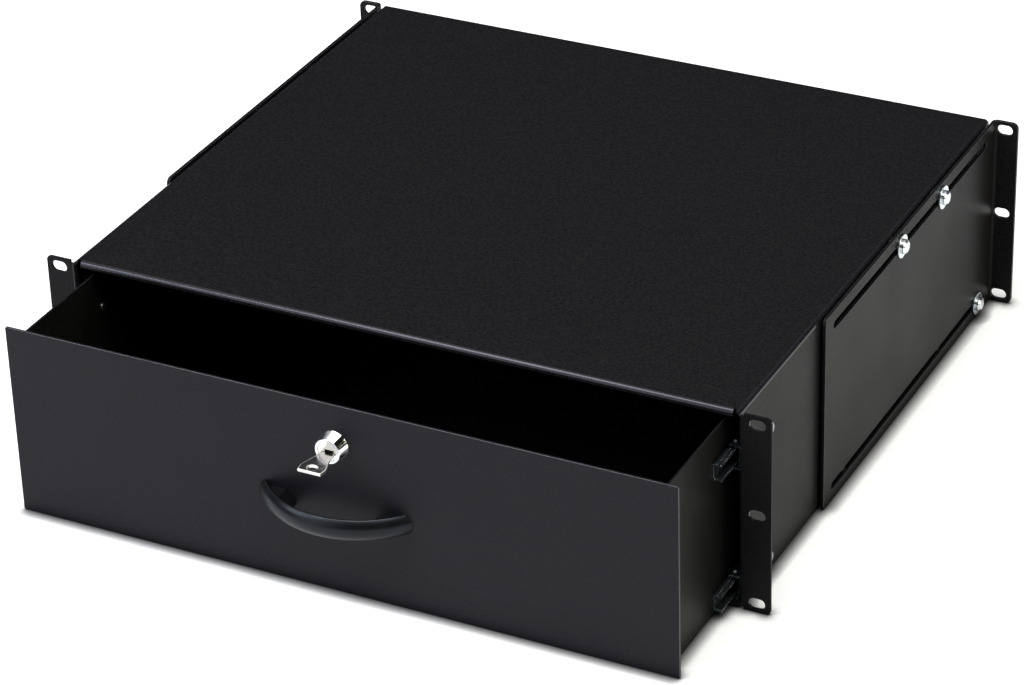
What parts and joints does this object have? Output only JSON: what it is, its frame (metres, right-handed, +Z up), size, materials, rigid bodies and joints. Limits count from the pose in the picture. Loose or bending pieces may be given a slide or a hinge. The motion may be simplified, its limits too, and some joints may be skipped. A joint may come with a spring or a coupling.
{
  "type": "sliding rack drawer",
  "caption": "Lockable steel rack drawer whose tray runs on ball slides in a case with adjustable rear brackets.",
  "frame": {"origin": "middle of the front rack slots, in the plane of the front flanges' faces, on the centre line", "axes": "+X to the right as seen from the front, +Y towards the back of the rack, +Z up"},
  "size_m": [0.4826, 0.5135, 0.1329],
  "materials": {
    "case_paint": "fine textured black powder coat",
    "drawer_paint": "fine textured black powder coat",
    "slide_finish": "satin black electrophoretic coat",
    "cage_steel": "plain cold rolled strip",
    "ball_steel": "ground bearing steel",
    "lock_chrome": "bright chrome plate",
    "key_nickel": "nickel plate with handling marks",
    "handle_plastic": "smooth moulded black plastic",
    "dark_zinc": "dull zinc plate",
    "bright_zinc": "bright zinc plate"
  },
  "bodies": {
    "case": {"case_shell": "case_paint", "case_bottom": "case_paint", "case_back": "case_paint", "lock_keeper": "case_paint", "slide_channel_upper_left": "slide_finish", "slide_channel_upper_right": "slide_finish", "slide_channel_lower_left": "slide_finish", "slide_channel_lower_right": "slide_finish", "case_slide_screws_left": "dark_zinc", "case_slide_screws_right": "dark_zinc", "bracket_screws": "bright_zinc", "bracket_washers": "bright_zinc", "bracket_spacers": "bright_zinc", "bracket_nuts": "bright_zinc"},
    "drawer": {"drawer_panel": "drawer_paint", "drawer_tray": "drawer_paint", "tray_side_left": "drawer_paint", "tray_side_right": "drawer_paint", "tray_back": "drawer_paint", "slide_runner_upper_left": "slide_finish", "slide_runner_upper_right": "slide_finish", "slide_runner_lower_left": "slide_finish", "slide_runner_lower_right": "slide_finish", "tray_slide_screws_left": "dark_zinc", "tray_slide_screws_right": "dark_zinc", "handle": "handle_plastic", "handle_screws": "bright_zinc", "lock_housing": "lock_chrome", "lock_nut": "bright_zinc"},
    "lock_barrel": {"lock_plug": "lock_chrome", "lock_cam": "bright_zinc", "cam_screw": "bright_zinc"},
    "key": {"key": "key_nickel"},
    "cage_upper_left": {"ball_cage_upper_left": "cage_steel", "balls_upper_left": "ball_steel"},
    "cage_upper_right": {"ball_cage_upper_right": "cage_steel", "balls_upper_right": "ball_steel"},
    "cage_lower_left": {"ball_cage_lower_left": "cage_steel", "balls_lower_left": "ball_steel"},
    "cage_lower_right": {"ball_cage_lower_right": "cage_steel", "balls_lower_right": "ball_steel"},
    "bracket_left": {"rear_bracket_left": "case_paint"},
    "bracket_right": {"rear_bracket_right": "case_paint"}
  },
  "joints": [
    {"name": "drawer_slide", "type": "slide", "parent": "case", "child": "drawer", "axis": [0, -1, 0], "range_m": [-0.0782, 0.1718]},
    {"name": "cage_roll_upper_left", "type": "slide", "parent": "case", "child": "cage_upper_left", "axis": [0, -1, 0], "range_m": [-0.0391, 0.0859]},
    {"name": "cage_roll_upper_right", "type": "slide", "parent": "case", "child": "cage_upper_right", "axis": [0, -1, 0], "range_m": [-0.0391, 0.0859]},
    {"name": "cage_roll_lower_left", "type": "slide", "parent": "case", "child": "cage_lower_left", "axis": [0, -1, 0], "range_m": [-0.0391, 0.0859]},
    {"name": "cage_roll_lower_right", "type": "slide", "parent": "case", "child": "cage_lower_right", "axis": [0, -1, 0], "range_m": [-0.0391, 0.0859]},
    {"name": "lock_turn", "type": "hinge", "parent": "drawer", "child": "lock_barrel", "pos_m": [0.0022, -0.08, 0.03505], "axis": [0, -1, 0], "range_deg": [0, 90]},
    {"name": "key_withdraw", "type": "slide", "parent": "lock_barrel", "child": "key", "axis": [0, -1, 0], "range_m": [0, 0.024]},
    {"name": "bracket_left_adjust", "type": "slide", "parent": "case", "child": "bracket_left", "axis": [0, 1, 0], "range_m": [-0.0058, 0.1055]},
    {"name": "bracket_right_adjust", "type": "slide", "parent": "case", "child": "bracket_right", "axis": [0, 1, 0], "range_m": [-0.0058, 0.1055]}
  ],
  "couplings": [
    {"joint": "cage_roll_upper_left", "follows": "drawer_slide", "ratio": 0.5},
    {"joint": "cage_roll_upper_right", "follows": "drawer_slide", "ratio": 0.5},
    {"joint": "cage_roll_lower_left", "follows": "drawer_slide", "ratio": 0.5},
    {"joint": "cage_roll_lower_right", "follows": "drawer_slide", "ratio": 0.5}
  ]
}
